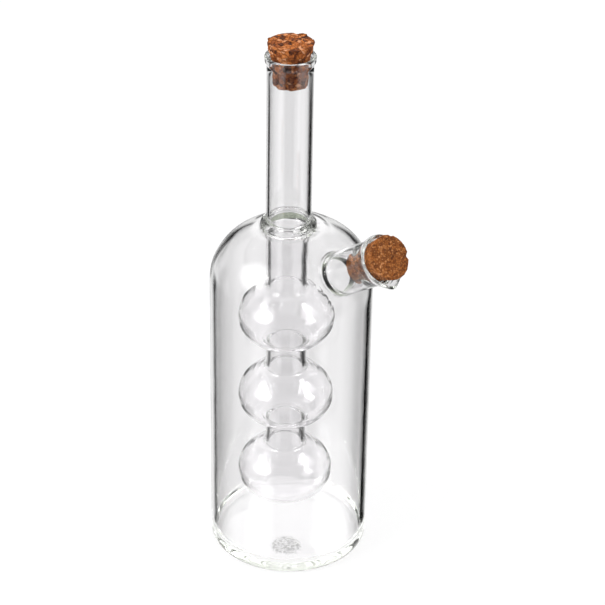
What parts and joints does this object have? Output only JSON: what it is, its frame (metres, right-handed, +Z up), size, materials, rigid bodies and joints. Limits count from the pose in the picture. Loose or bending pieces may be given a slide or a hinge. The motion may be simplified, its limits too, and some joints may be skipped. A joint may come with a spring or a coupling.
{
  "type": "double oil and vinegar bottle",
  "caption": "Clear blown glass bottle with a flask of round bubbles hanging inside a domed drum, a long neck, a slanted side spout with a pinched lip, and cork stoppers.",
  "frame": {"origin": "middle of the base, on the plane that the bottle stands on", "axes": "+Z up along the drum's axis to the neck's mouth; the spout points half way between +X and -Y, and rises"},
  "size_m": [0.0887, 0.091, 0.2586],
  "materials": {
    "glass": "clear, colourless, fire-polished blown glass",
    "coarse_cork": "coarse reddish brown agglomerated cork with dark and pale grains",
    "fine_cork": "finer orange brown agglomerated cork"
  },
  "bodies": {
    "root": {"glass_vessel": "glass", "neck_cork": "coarse_cork", "spout_cork": "fine_cork"}
  },
  "joints": []
}
